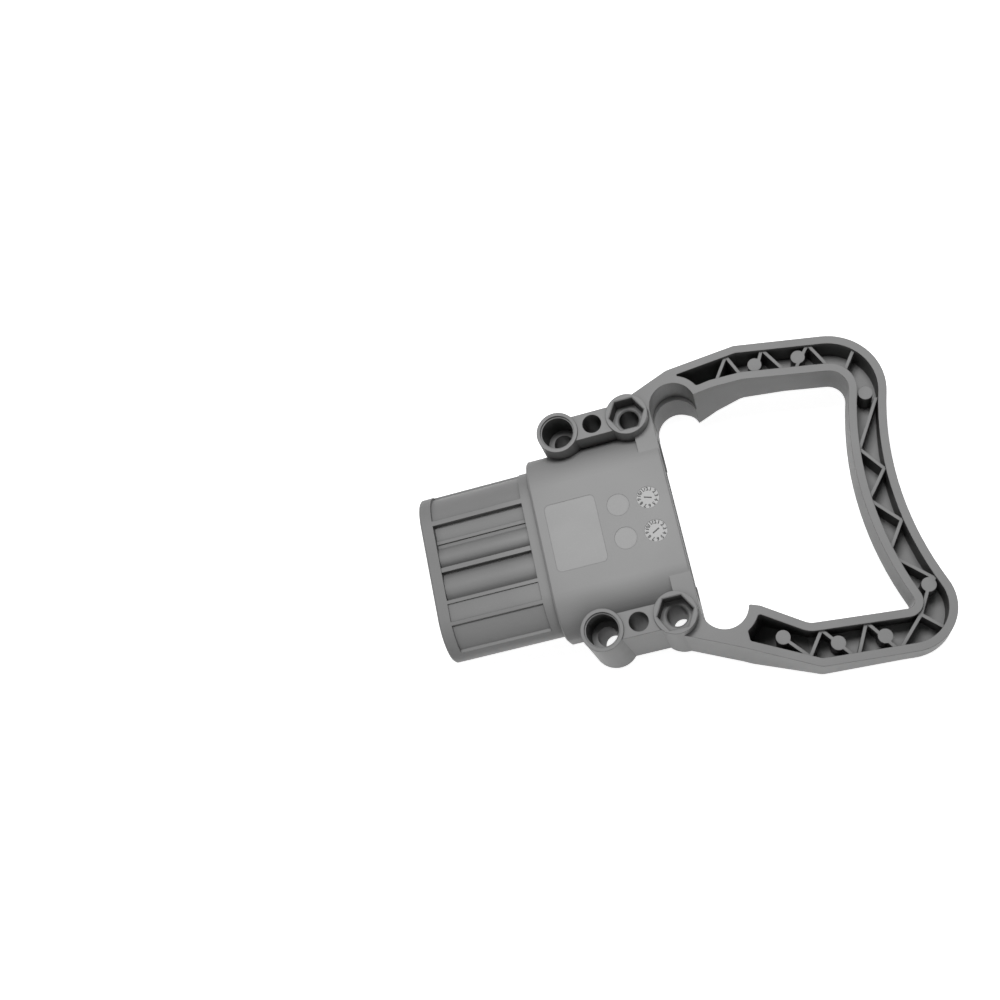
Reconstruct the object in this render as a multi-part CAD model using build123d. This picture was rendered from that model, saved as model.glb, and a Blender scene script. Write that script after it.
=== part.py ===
from build123d import *
import os
from math import atan2, degrees, hypot, radians, sqrt, tan

# Handled half of a flat two-pole power connector, as fitted to vehicle batteries and chargers.
# It is a glass-filled moulding with an oval nose, four bolting bosses and a ribbed carrying handle.
# Two crimped main sockets, two pilot sockets and a coding pin sit inside it.
# Millimetres. +X runs from the mating nose to the handle and +Z to the ribbed face of the handle.
# The origin lies on the flat underside, midway between the four ear holes.

# Fixing ears
ear_span = 70.0
ear_pitch = 24.4
boss_radius = 7.1
boss_top = 38.5
boss_bottom = 4.0
mould_draft = 1.5
bolt_hole_radius = 3.4
head_bore_radius = 5.4
head_bore_depth = 14.3
head_bore_step = 0.5
head_step_depth = 0.9
bolt_hole_lead = 0.5
nut_across_flats = 10.4
nut_pocket_depth = 7.1
nut_pocket_lead = 0.4
slot_hole_radius = 3.25
web_half_width = 4.4
web_drop = 0.8

# Body between the ears
body_height = 34.0
body_half_width = 32.8
body_corner = 14.0
body_front = -26.6
body_wall = 3.6
body_edge_chamfer = 0.6
cavity_front = -16.0
entry_setback = 0.4
entry_over = 3.0
slab_front = 12.8
slab_rear = 20.0

# Oval nose
nose_front = -67.4
nose_half_width = 29.95
nose_height = 27.0
nose_corner = 13.0
nose_ring_length = 4.4
nose_flange_length = 4.0
nose_edge_chamfer = 0.5
window_depth = 2.6
window_left = 16.2
window_right = -11.0
bulge_sink = 0.8
pilot_bulge_radius = 4.4
coding_bulge_radius = 6.9
nose_rib_width = 1.7
nose_rib_drop = 0.3
ridge_y = 10.2
ridge_width = 1.3
ridge_drop = 1.9
strip_outer = -19.9
strip_margin = 1.3
strip_dip = 0.6
shoulder_depth = 1.0
shoulder_foot_left = 2.0
shoulder_foot_right = 6.5
shoulder_start_left = 18.0

# Main contacts and their chambers
main_y = 17.5
main_sleeve_radius = 7.5
main_bore_radius = 5.6
main_front_setback = 5.4
main_sleeve_length = 36.0
main_collar_radius = 8.7
main_collar_length = 4.0
main_barrel_length = 24.0
main_crimp_radius = 5.8
main_crimp_depth = 20.0
main_inspection_radius = 1.2
main_lead = 0.8
guard_radius = 6.3
chamber_clearance = 0.2
band_start = 6.0
band_length = 12.0
band_thickness = 0.5
band_slots = 10
band_slot_width = 1.1
band_slot_margin = 2.0
band_clearance = 0.05
ring_thickness = 1.2
ring_radius = 9.5
ring_gap_width = 3.0

# Pilot contacts
pilot_y = 4.65
pilot_rise = 8.3
pilot_sleeve_radius = 2.3
pilot_bore_radius = 1.5
pilot_front_setback = 5.0
pilot_sleeve_length = 27.0
pilot_bore_depth = 14.0
pilot_collar_radius = 2.9
pilot_collar_length = 2.0
pilot_barrel_radius = 2.0
pilot_barrel_length = 14.0
pilot_crimp_radius = 1.3
pilot_crimp_depth = 8.0
pilot_guard_radius = 1.8
pilot_clearance = 0.1
pilot_hood_thickness = 0.25
pilot_hood_length = 9.0
pilot_hood_lead = 0.8

# Coding pin
coding_y = -6.05
coding_rise = 4.8
coding_across_flats = 6.2
coding_length = 29.0
coding_key_length = 8.0
coding_clearance = 0.1
coding_chamfer = 0.5

# Cable notches beside the slab
notch_x = 27.8
notch_y = 35.6
notch_radius = 7.8
notch_ledge = 1.5
notch_ledge_top = 20.0
notch_ring_left = 2.6
notch_ring_right = 3.3

# Carrying handle, seen from above
grip_x = 91.2
grip_y = -11.0
grip_radius = 101.5
grip_width = 12.0
upper_corner_radius = 19.3
lower_corner_radius = 14.7
upper_inner_corner = 6.5
lower_inner_corner = 2.5
upper_root = (28.6, 48.2)
upper_knee = (52.7, 50.4)
upper_slope = -0.177
upper_width = 12.5
lower_root = (29.3, -49.8)
lower_knee = (52.6, -61.9)
lower_slope = -0.065
lower_width = 13.5
knee_radius = 6.0
upper_inner_knee = (52.5, 37.9)
upper_horn = (42.3, 38.0)
upper_tip = (36.6, 37.3)
lower_inner_knee = (52.3, -47.6)
lower_horn = (38.8, -38.4)
lower_tip = (36.2, -37.4)
opening_draft = 2.5
rim_bevel = 0.35

# Carrying handle, seen from the side
grip_depth = 14.5
root_depth = 30.0
root_end = 32.0
knee_depth = 17.0
knee_station = 51.0
depth_end = 66.0
grip_round = 2.0

# Channel in the handle
rim_width = 2.65
channel_start_left = 31.8
channel_start_right = 33.0
channel_floor = 3.0
rib_thickness = 1.1
rib_drop = 1.8
rib_reach = 0.8
bend_inset = 3.0
pad_radius = 2.35
pocket_round = 0.9
pocket_tip_left = (37.2, 40.0)
pocket_tip_right = (37.6, -40.8)
smallest_cell = 0.5
smallest_gap = 0.01

# Shallow marks on the top of the body
mark_depth = 0.25
patch_x = -14.1
patch_length = 17.6
patch_width = 23.8
patch_corner = 1.8
disc_x = 2.0
dial_x = 12.3
mark_y = 5.9
disc_radius = 3.8
dial_radius = 3.8

body_mid = body_height / 2
grip_centre_x = grip_x + grip_radius
cut_over = 1.0
big = 200.0
standing = (Align.CENTER, Align.CENTER, Align.MIN)


def along_x(sketch, start, end):
    """Solid of a Y-Z section carried from one station along X to another."""
    return extrude(Plane.YZ.offset(start) * sketch, amount=end - start)


def upright(sketch, bottom, top):
    """Solid of an X-Y outline between two heights."""
    return extrude(Pos(0, 0, bottom) * sketch, amount=top - bottom)


def rod(radius, start, end, y, z):
    """Round rod lying along X."""
    return along_x(Pos(y, z) * Circle(radius), start, end)


def oval(half_width, height, corner):
    """Rounded rectangle centred on the connector's middle plane, in Y and Z."""
    return Pos(0, body_mid) * RectangleRounded(2 * half_width, height, corner)


def bar(y_from, y_to, z_from, z_to):
    """Rectangle in Y and Z given by its sides."""
    return Pos((y_from + y_to) / 2, (z_from + z_to) / 2) * Rectangle(abs(y_to - y_from), abs(z_to - z_from))


# Plan of the handle

def grip_meets_line(point, slope, radius):
    """Point on the handle's side where a grip arc crosses the line of an arm."""
    dx = point[0] - grip_centre_x
    dy = point[1] - grip_y
    a = 1 + slope**2
    b = dx + slope * dy
    c = dx**2 + dy**2 - radius**2
    step = (-b - sqrt(b**2 - a * c)) / a
    return (point[0] + step, point[1] + slope * step)


def shifted(point, slope, distance):
    """Point moved square to an arm's line."""
    length = hypot(1, slope)
    return (point[0] - slope * distance / length, point[1] + distance / length)


def grip_arc(start, end, radius):
    """Arc of the grip between two points at the same distance from its centre."""
    middle_y = (start[1] + end[1]) / 2
    middle = (grip_centre_x - sqrt(radius**2 - (middle_y - grip_y) ** 2), middle_y)
    return ThreePointArc(start, middle, end)


def rounded(face, corners):
    """Rounds chosen corners of a plan, given as a list of (point, radius)."""
    for point, radius in corners:
        vertex = face.vertices().sort_by_distance(Vector(*point))[0]
        face = fillet(vertex, radius)
    return face


def handle_outline():
    """Outer outline of the slab and the handle, with its three straight runs and its grip."""
    upper_end = grip_meets_line(upper_knee, upper_slope, grip_radius)
    lower_end = grip_meets_line(lower_knee, lower_slope, grip_radius)
    ear_edge = ear_span / 2 + boss_radius
    upper_start = (slab_front, ear_edge)
    lower_start = (slab_front, -ear_edge)
    edges = [
        Line(lower_start, upper_start),
        Line(upper_start, upper_root),
        Line(upper_root, upper_knee),
        Line(upper_knee, upper_end),
        grip_arc(upper_end, lower_end, grip_radius),
        Line(lower_end, lower_knee),
        Line(lower_knee, lower_root),
        Line(lower_root, lower_start),
    ]
    corners = [
        (upper_end, upper_corner_radius),
        (lower_end, lower_corner_radius),
        (lower_knee, knee_radius),
        (upper_root, knee_radius),
    ]
    return rounded(make_face(edges), corners)


def hand_opening():
    """Opening for the hand, with a round notch beside each root of the handle."""
    inner_radius = grip_radius + grip_width
    upper_line = shifted(upper_knee, upper_slope, -upper_width)
    lower_line = shifted(lower_knee, lower_slope, lower_width)
    upper_end = grip_meets_line(upper_line, upper_slope, inner_radius)
    lower_end = grip_meets_line(lower_line, lower_slope, inner_radius)
    edges = [
        Line((slab_rear, -notch_y), (slab_rear, notch_y)),
        Line((slab_rear, notch_y), upper_tip),
        Line(upper_tip, upper_horn),
        Line(upper_horn, upper_inner_knee),
        Line(upper_inner_knee, upper_end),
        grip_arc(upper_end, lower_end, inner_radius),
        Line(lower_end, lower_inner_knee),
        Line(lower_inner_knee, lower_horn),
        Line(lower_horn, lower_tip),
        Line(lower_tip, (slab_rear, -notch_y)),
    ]
    corners = [
        (upper_end, upper_inner_corner),
        (lower_end, lower_inner_corner),
        (lower_inner_knee, knee_radius),
        (upper_inner_knee, knee_radius),
        (upper_horn, knee_radius),
    ]
    return rounded(make_face(edges), corners)


def notches(radius, inward=0):
    """Pair of round notches, which may be moved towards the middle of the slab."""
    return [Pos(notch_x, side * (notch_y - inward)) * Circle(radius) for side in (1, -1)]


def underside_profile(rise):
    """Everything below the underside of the handle in X and Z, raised by a wall."""
    top = body_height
    points = [
        (slab_front - cut_over, -big),
        (slab_front - cut_over, top - root_depth + rise),
        (root_end, top - root_depth + rise),
        (knee_station, top - knee_depth + rise),
        (depth_end, top - grip_depth + rise),
        (big, top - grip_depth + rise),
        (big, -big),
    ]
    face = make_face(Polyline(*points, close=True))
    return extrude(Plane.XZ * face, amount=big / 2, both=True)


def round_underside(solid):
    """Rounds the edges round the underside of the grip, as far as the wall allows."""
    low = body_height - grip_depth

    def lies_low(box):
        return abs(box.min.Z - low) < smallest_gap and abs(box.max.Z - low) < smallest_gap

    boxes = [(edge, edge.bounding_box()) for edge in solid.edges()]
    flat = [(edge, box) for edge, box in boxes if lies_low(box)]
    return fillet([edge for edge, box in flat if box.max.X > depth_end + grip_round], grip_round)


# Ribs and ejector pads of the channel

def wall_rib(start, end):
    """Plan strip of a thin upright rib between two points."""
    run = hypot(end[0] - start[0], end[1] - start[1])
    turn = degrees(atan2(end[1] - start[1], end[0] - start[0]))
    middle = ((start[0] + end[0]) / 2, (start[1] + end[1]) / 2)
    return Pos(middle[0], middle[1]) * Rot(0, 0, turn) * Rectangle(run + rib_thickness, rib_thickness)


def arm_point(knee, slope, x, inset):
    """Point at a station of an arm, at a distance inside its outer line."""
    return (x, knee[1] + slope * (x - knee[0]) + inset)


def grip_point(y, inset):
    """Point at a height of the grip, at a distance inside its outer arc."""
    radius = grip_radius + inset
    return (grip_centre_x - sqrt(radius**2 - (y - grip_y) ** 2), y)


def channel_ribs():
    """Zigzag ribs along the upper arm, the grip and the lower arm, as plan strips."""
    near = rim_width - rib_reach
    up_far = upper_width - near
    low_far = lower_width - near
    grip_far = grip_width - near

    def up(x, inner):
        return arm_point(upper_knee, upper_slope, x, -up_far if inner else -near)

    def low(x, inner):
        return arm_point(lower_knee, lower_slope, x, low_far if inner else near)

    def grip(y, inner):
        return grip_point(y, grip_far if inner else bend_inset)

    runs = [
        [(44.3, 40.5), (49.4, 48.0), (52.7, 39.7)],
        [(57.2, 38.7), up(61.5, False), up(67.0, True)],
        [(70.0, 36.4), up(76.5, False), up(81.0, True)],
        [(90.8, 38.9), (84.2, 29.9)],
        [(92.4, 19.6), grip(2.9, True)],
        [grip(5.2, True), grip(-4.0, False), grip(-12.9, True), grip(-22.0, False), grip(-30.6, True)],
        [grip(-33.0, True), grip(-42.5, False)],
        [(91.0, -44.1), (86.0, -52.6), (77.1, -61.6)],
        [(85.2, -52.0), (92.4, -58.9)],
        [low(69.4, True), low(76.2, False)],
        [low(69.2, True), low(64.2, False)],
        [low(55.4, True), low(63.0, False)],
        [low(55.2, True), (49.8, -57.8)],
        [(43.1, -49.8), (49.8, -57.8)],
    ]
    return [wall_rib(a, b) for run in runs for a, b in zip(run, run[1:])]


def ejector_pads():
    """Round ejector pads standing on the ribs, as plan discs."""
    places = [
        (57.9, 42.3),
        (72.3, 40.9),
        (89.9, 22.5),
        (90.9, -44.1),
        (73.7, -56.7),
        (59.3, -55.5),
        (43.2, -49.8),
    ]
    return [Pos(x, y) * Circle(pad_radius) for x, y in places]


def channel_plan(opening):
    """Plan of the channel: the handle less a rim on both sides and a wall round each notch."""
    channel = offset(handle_outline(), amount=-rim_width, kind=Kind.INTERSECTION)
    channel -= offset(opening, amount=rim_width, kind=Kind.INTERSECTION)
    channel -= notches(notch_radius + notch_ring_left)[0]
    channel -= notches(notch_radius + notch_ring_right)[1]
    channel -= Pos(channel_start_left - big / 2, big / 2) * Rectangle(big, big)
    channel -= Pos(channel_start_right - big / 2, -big / 2) * Rectangle(big, big)
    tips = [pocket_tip_left, pocket_tip_right]
    plan = rounded(channel.faces()[0], [(point, pocket_round) for point in tips])
    ends = [v for v in plan.vertices() if v.Y < 0 and abs(v.X - channel_start_right) < smallest_gap]
    return fillet(ends, pocket_round)


def bevelled_edge(plan):
    """Tool that bevels the upper edge round a hole of this plan."""
    return extrude(Pos(0, 0, body_height - rim_bevel) * plan, amount=2 * rim_bevel, taper=-45)


def handle():
    """Slab and ribbed handle: a plate with a hand opening, a channel, ribs and pads."""
    outline = Pos(0, 0, body_height - rim_bevel) * handle_outline()
    plate = extrude(outline, amount=root_depth - rim_bevel, dir=(0, 0, -1), taper=-mould_draft)
    plate += extrude(outline, amount=rim_bevel, taper=45)
    plate -= underside_profile(0)
    plate = round_underside(plate)
    opening = hand_opening()
    mouth = Pos(0, 0, body_height - rim_bevel) * opening
    plate -= extrude(mouth, amount=body_height, dir=(0, 0, -1), taper=opening_draft)
    entry = Pos(slab_rear + entry_over / 2, 0) * Rectangle(entry_over, 2 * notch_y)
    plate -= upright(entry, -cut_over, body_height)
    plate -= bevelled_edge(opening)
    for notch in notches(notch_radius):
        plate -= upright(notch, notch_ledge_top, body_height + cut_over)
        plate -= bevelled_edge(notch)
    for notch in notches(notch_radius, notch_ledge):
        plate -= upright(notch, -cut_over, body_height + cut_over)
    channel = channel_plan(opening)
    plate -= upright(channel, body_height - rib_drop, body_height + cut_over)
    cells = channel
    for strip in channel_ribs() + ejector_pads():
        cells -= strip
    floor = underside_profile(channel_floor)
    for cell in cells.faces():
        if cell.area > smallest_cell:
            plate -= upright(cell, 0, body_height + cut_over) - floor
    return plate


# Ears

def ear(side):
    """One ear: two drafted bosses and the web between them, without its holes."""
    height = boss_top - boss_bottom
    spread = height * tan(radians(mould_draft))
    y = side * ear_span / 2
    web_top = boss_top - web_drop
    narrow = web_half_width
    wide = web_half_width + spread
    corners = [(-narrow, web_top), (-wide, boss_bottom), (wide, boss_bottom), (narrow, web_top)]
    section = Polyline(*corners, close=True)
    web = along_x(Pos(y, 0) * make_face(section), -ear_pitch / 2, ear_pitch / 2)
    for end in (-1, 1):
        boss = Cone(boss_radius + spread, boss_radius, height, align=standing)
        web += Pos(end * ear_pitch / 2, y, boss_bottom) * boss
    return web


def ear_holes(side):
    """Head bore, nut pocket and the three holes of one ear, as one cutting tool."""
    y = side * ear_span / 2
    front, rear = -ear_pitch / 2, ear_pitch / 2
    over = boss_top + cut_over
    bottom = boss_bottom - cut_over
    tool = upright(Pos(front, y) * Circle(bolt_hole_radius), bottom, over)
    tool += upright(Pos(rear, y) * Circle(bolt_hole_radius), bottom, over)
    tool += upright(Pos(0, y) * Circle(slot_hole_radius), bottom, over)
    tool += upright(Pos(front, y) * Circle(head_bore_radius), boss_top - head_bore_depth, over)
    head_step = Circle(head_bore_radius + head_bore_step)
    tool += upright(Pos(front, y) * head_step, boss_top - head_step_depth, over)
    nut = RegularPolygon(nut_across_flats / sqrt(3), 6)
    pocket_floor = boss_top - nut_pocket_depth
    tool += upright(Pos(rear, y) * nut, pocket_floor, over)
    wider = RegularPolygon(nut_across_flats / sqrt(3) + nut_pocket_lead, 6)
    tool += extrude(Pos(rear, y, boss_top) * wider, amount=nut_pocket_lead, dir=(0, 0, -1), taper=45)
    lead = Cone(bolt_hole_radius, bolt_hole_radius + bolt_hole_lead, bolt_hole_lead)
    tool += Pos(rear, y, pocket_floor - bolt_hole_lead / 2) * lead
    return tool


# Nose

def nose():
    """Oval nose with its front ring, rear flange, top window and recessed shoulders."""
    solid = along_x(oval(nose_half_width, nose_height, nose_corner), nose_front, body_front + cut_over)
    front_edges = solid.faces().sort_by(Axis.X)[0].edges()
    solid = chamfer(front_edges, nose_edge_chamfer)
    start = nose_front + nose_ring_length
    end = body_front - nose_flange_length
    crown = body_mid + nose_height / 2
    floor = crown - window_depth
    over = crown + cut_over
    window = bar(window_right, window_left, floor, over)
    for y, radius in ((pilot_y, pilot_bulge_radius), (coding_y, coding_bulge_radius)):
        window -= Pos(y, crown - bulge_sink - radius) * Circle(radius)
    window -= bar(-nose_rib_width / 2, nose_rib_width / 2, floor - cut_over, crown - nose_rib_drop)
    window -= bar(ridge_y - ridge_width / 2, ridge_y + ridge_width / 2, floor - cut_over, crown - ridge_drop)
    solid -= along_x(window, start, end)
    dip = bar(strip_outer + strip_margin, window_right - strip_margin, crown - strip_dip, over)
    solid -= along_x(dip, start, end)
    depth = shoulder_depth
    skin = oval(nose_half_width - depth, nose_height - 2 * depth, nose_corner - depth)
    solid -= along_x(bar(shoulder_start_left, big, body_mid + shoulder_foot_left, over) - skin, start, end)
    solid -= along_x(bar(-big, strip_outer, body_mid + shoulder_foot_right, over) - skin, start, end)
    return solid


# Chambers for the contacts

def chamber_cuts():
    """Bores of the main and pilot chambers and the coding pin's pocket, as cutting tools."""
    tools = []
    shoulder = nose_front + main_front_setback + main_sleeve_length
    for side in (1, -1):
        y = side * main_y
        bore = main_sleeve_radius + chamber_clearance
        tools.append(rod(guard_radius, nose_front - cut_over, nose_front + main_front_setback, y, body_mid))
        tools.append(rod(bore, nose_front + main_front_setback, shoulder, y, body_mid))
        collar = main_collar_radius + chamber_clearance
        tools.append(rod(collar, shoulder, cavity_front + cut_over, y, body_mid))
        groove = shoulder + main_collar_length
        tools.append(rod(ring_radius, groove, groove + ring_thickness, y, body_mid))
    pilot_front = nose_front + pilot_front_setback
    step = pilot_front + pilot_sleeve_length
    for side in (1, -1):
        z = body_mid + side * pilot_rise
        tools.append(rod(pilot_guard_radius, nose_front - cut_over, pilot_front, pilot_y, z))
        sleeve = pilot_sleeve_radius + pilot_hood_thickness + pilot_clearance
        tools.append(rod(sleeve, pilot_front, step, pilot_y, z))
        collar = pilot_collar_radius + pilot_clearance
        tools.append(rod(collar, step, step + pilot_collar_length, pilot_y, z))
        barrel = pilot_barrel_radius + pilot_clearance
        tools.append(rod(barrel, step + pilot_collar_length, cavity_front + cut_over, pilot_y, z))
    pocket = RegularPolygon((coding_across_flats + 2 * coding_clearance) / sqrt(3), 6)
    place = Pos(coding_y, body_mid + coding_rise)
    tools.append(along_x(place * pocket, nose_front - cut_over, nose_front + coding_length))
    return tools


def surface_marks():
    """Shallow recesses of a bare panel, two bare discs and two dial seats."""
    bottom = body_height - mark_depth
    top = body_height + cut_over
    patch = Pos(patch_x, 0) * RectangleRounded(patch_length, patch_width, patch_corner)
    tools = [upright(patch, bottom, top)]
    for x, radius in ((disc_x, disc_radius), (dial_x, dial_radius)):
        for side in (1, -1):
            tools.append(upright(Pos(x, side * mark_y) * Circle(radius), bottom, top))
    return tools


def housing():
    """The whole moulding: nose, body, ears, slab and handle in one piece."""
    body = along_x(oval(body_half_width, body_height, body_corner), body_front, slab_rear - entry_setback)
    body = chamfer(body.faces().sort_by(Axis.X)[0].edges(), body_edge_chamfer)
    body += nose()
    body += handle()
    for side in (1, -1):
        body += ear(side)
    inner = oval(body_half_width - body_wall, body_height - 2 * body_wall, body_corner - body_wall)
    body -= along_x(inner, cavity_front, slab_rear + entry_over)
    for side in (1, -1):
        body -= ear_holes(side)
    for tool in chamber_cuts() + surface_marks():
        body -= tool
    return body


# Inner pieces

def main_socket(side):
    """Turned main socket: sleeve with a bore and a band groove, collar and crimp barrel."""
    y = side * main_y
    front = nose_front + main_front_setback
    collar = front + main_sleeve_length
    barrel = collar + main_collar_length
    rear = barrel + main_barrel_length
    solid = rod(main_sleeve_radius, front, rear, y, body_mid)
    solid += rod(main_collar_radius, collar, barrel, y, body_mid)
    solid -= rod(main_bore_radius, front - cut_over, collar - main_lead, y, body_mid)
    lead = Cone(main_bore_radius + main_lead, main_bore_radius, main_lead)
    solid -= Pos(front + main_lead / 2, y, body_mid) * Rot(0, 90, 0) * lead
    groove = main_bore_radius + band_thickness + band_clearance
    solid -= rod(groove, front + band_start, front + band_start + band_length, y, body_mid)
    solid -= rod(main_crimp_radius, rear - main_crimp_depth, rear + cut_over, y, body_mid)
    inspection = Cylinder(main_inspection_radius, main_sleeve_radius + cut_over, align=standing)
    solid -= Pos(rear - main_crimp_depth + 2 * main_inspection_radius, y, body_mid) * inspection
    return solid


def contact_band(side):
    """Spring band with a row of slots, lying in the groove of a main socket."""
    y = side * main_y
    start = nose_front + main_front_setback + band_start + band_clearance
    end = start + band_length - 2 * band_clearance
    outer = main_bore_radius + band_thickness
    solid = rod(outer, start, end, y, body_mid)
    solid -= rod(main_bore_radius, start - cut_over, end + cut_over, y, body_mid)
    slot_length = band_length - 2 * band_slot_margin
    middle = (start + end) / 2
    for turn in range(band_slots):
        slot = Pos(0, 0, outer) * Box(slot_length, band_slot_width, 4 * band_thickness)
        solid -= Pos(middle, y, body_mid) * Rot(360 / band_slots * turn, 0, 0) * slot
    return solid


def retaining_ring(side):
    """Split spring ring behind the collar of a main socket."""
    y = side * main_y
    start = nose_front + main_front_setback + main_sleeve_length + main_collar_length
    end = start + ring_thickness
    hole = main_sleeve_radius + chamber_clearance
    solid = rod(ring_radius, start, end, y, body_mid)
    solid -= rod(hole, start - cut_over, end + cut_over, y, body_mid)
    gap = Box(2 * ring_thickness, ring_gap_width, 2 * ring_radius)
    return solid - Pos((start + end) / 2, y, body_mid + ring_radius) * gap


def pilot_socket(side):
    """Turned pilot socket with a collar and a crimp barrel."""
    z = body_mid + side * pilot_rise
    front = nose_front + pilot_front_setback
    collar = front + pilot_sleeve_length
    barrel = collar + pilot_collar_length
    rear = barrel + pilot_barrel_length
    solid = rod(pilot_sleeve_radius, front, collar, pilot_y, z)
    solid += rod(pilot_collar_radius, collar, barrel, pilot_y, z)
    solid += rod(pilot_barrel_radius, barrel, rear, pilot_y, z)
    solid -= rod(pilot_bore_radius, front - cut_over, front + pilot_bore_depth, pilot_y, z)
    solid -= rod(pilot_crimp_radius, rear - pilot_crimp_depth, rear + cut_over, pilot_y, z)
    return solid


def pilot_hood(side):
    """Thin steel hood that closes the slotted end of a pilot socket."""
    z = body_mid + side * pilot_rise
    start = nose_front + pilot_front_setback + pilot_hood_lead
    end = start + pilot_hood_length
    solid = rod(pilot_sleeve_radius + pilot_hood_thickness, start, end, pilot_y, z)
    return solid - rod(pilot_sleeve_radius, start - cut_over, end + cut_over, pilot_y, z)


def coding_pin():
    """Hexagonal coding pin with a flat key at its front end."""
    z = body_mid + coding_rise
    start = nose_front
    end = nose_front + coding_length
    solid = along_x(Pos(coding_y, z) * RegularPolygon(coding_across_flats / sqrt(3), 6), start, end)
    solid = chamfer(solid.faces().sort_by(Axis.X)[0].edges(), coding_chamfer)
    key = bar(coding_y - coding_across_flats, coding_y, z - coding_across_flats, z + coding_across_flats)
    return solid - along_x(key, start - cut_over, start + coding_key_length)


def main():
    os.makedirs("parts", exist_ok=True)
    sides = {"left": 1, "right": -1}
    levels = {"upper": 1, "lower": -1}
    pieces = {"housing": housing(), "coding_pin": coding_pin()}
    for name, side in sides.items():
        pieces[f"main_socket_{name}"] = main_socket(side)
        pieces[f"contact_band_{name}"] = contact_band(side)
        pieces[f"retaining_ring_{name}"] = retaining_ring(side)
    for name, side in levels.items():
        pieces[f"pilot_socket_{name}"] = pilot_socket(side)
        pieces[f"pilot_hood_{name}"] = pilot_hood(side)
    for name, shape in pieces.items():
        export_step(shape, f"parts/{name}.step")


main()
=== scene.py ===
"""Looks for the handled half of a flat two-pole power connector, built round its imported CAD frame.

Lengths are in metres in the CAD frame: X runs from the mating nose to the handle, Z up from the flat
underside to the ribbed face, and the origin lies midway between the four screw ears.
"""
import math

import bpy
import numpy as np
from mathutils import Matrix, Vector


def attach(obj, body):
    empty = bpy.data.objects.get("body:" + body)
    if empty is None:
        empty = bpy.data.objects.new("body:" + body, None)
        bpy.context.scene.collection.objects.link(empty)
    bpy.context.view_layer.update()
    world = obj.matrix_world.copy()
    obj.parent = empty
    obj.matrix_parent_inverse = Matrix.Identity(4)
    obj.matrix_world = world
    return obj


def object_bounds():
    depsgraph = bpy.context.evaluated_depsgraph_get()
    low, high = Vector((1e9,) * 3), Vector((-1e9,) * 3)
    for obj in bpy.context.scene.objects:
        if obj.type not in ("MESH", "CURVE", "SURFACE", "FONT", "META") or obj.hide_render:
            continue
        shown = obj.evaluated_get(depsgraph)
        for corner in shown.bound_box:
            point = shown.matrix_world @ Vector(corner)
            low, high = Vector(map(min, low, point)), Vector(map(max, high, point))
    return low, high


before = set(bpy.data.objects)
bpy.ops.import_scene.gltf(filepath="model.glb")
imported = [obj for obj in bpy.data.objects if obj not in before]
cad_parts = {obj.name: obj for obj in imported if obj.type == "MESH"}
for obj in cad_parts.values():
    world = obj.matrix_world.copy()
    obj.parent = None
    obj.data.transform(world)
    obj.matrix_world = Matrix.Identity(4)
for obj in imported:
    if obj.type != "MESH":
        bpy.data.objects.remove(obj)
cad_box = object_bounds()

bl_info = {
    "name": "Two-pole connector looks",
    "version": (1, 0, 0),
    "blender": (4, 5, 0),
    "location": "3D View > Sidebar > Connector",
    "description": "Finishes, moulded marks and stage for a flat two-pole power connector",
    "category": "Object",
}

MM = 0.001
BODY = "root"

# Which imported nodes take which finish
HOUSING = "housing"
CODING_PIN = "coding_pin"
PLATED_CONTACTS = ("main_socket_left", "main_socket_right", "pilot_socket_upper", "pilot_socket_lower")
SPRING_PARTS = (
    "contact_band_left",
    "contact_band_right",
    "retaining_ring_left",
    "retaining_ring_right",
    "pilot_hood_upper",
    "pilot_hood_lower",
)

# The shallow recesses in the ribbed face, as the CAD source cuts them
TOP_FACE = 34.0 * MM
RECESS_DEPTH = 0.25 * MM
RECESS_FLOOR = TOP_FACE - RECESS_DEPTH
RECESS_RADIUS = 3.8 * MM
PATCH_CENTRE = (-14.1 * MM, 0.0)
DISC_X = 2.0 * MM
DIAL_X = 12.3 * MM
MARK_Y = 5.9 * MM
SIDES = {"left": 1, "right": -1}

# The marks in the recesses: how far a round one reaches into the wall, and how finely outlines are drawn
MARK_OVERLAP = 0.02 * MM
MARK_RADIUS = RECESS_RADIUS + MARK_OVERLAP
CORNER_STEPS = 9
CIRCLE_STEPS = 48

# Profile of each mark from its underside up and inwards: every ring's share of the outline, and its
# height above the floor of the recess
DIAL_HEIGHT = 0.1 * MM
PATCH_PROFILE = ((1.0, 0.0), (1.0, 0.17 * MM), (0.98, 0.22 * MM), (0.6, 0.21 * MM))
DISC_PROFILE = ((1.0, 0.0), (1.0, 0.17 * MM), (0.95, 0.22 * MM), (0.88, 0.2 * MM))
DIAL_PROFILE = ((1.0, 0.0), (1.0, DIAL_HEIGHT), (0.97, DIAL_HEIGHT), (0.9, DIAL_HEIGHT))

# Figures of a dial: the ring of numbers as a share of the radius, how much bolder than plain and how
# round they are, and the pointer, whose top is drawn in on each side by a share of its width
DIAL_FACE = RECESS_FLOOR + DIAL_HEIGHT
FIGURE_HEIGHT = 0.08 * MM
NUMBER_RING = 0.76
NUMBER_WEIGHT = 0.05 * MM
NUMBER_CURVE_STEPS = 2
POINTER_WIDTH = 0.5 * MM
POINTER_DRAW_IN = 0.1
POINTER_TURN = {"left": math.radians(-18.0), "right": math.radians(28.0)}

# Texture of every moulded plastic, in cycles a metre: the coarse grain and its share of the height, the
# mottle and the fibre specks, and the noise level at which a speck starts and is full
COARSE_GRAIN_SCALE = 520.0
COARSE_GRAIN_SHARE = 0.35
MOTTLE_SCALE = (38.0, 62.0, 62.0)
SPECK_SCALE = (1900.0, 5200.0, 5200.0)
SPECK_START = 0.62
SPECK_FULL = 0.78

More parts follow.
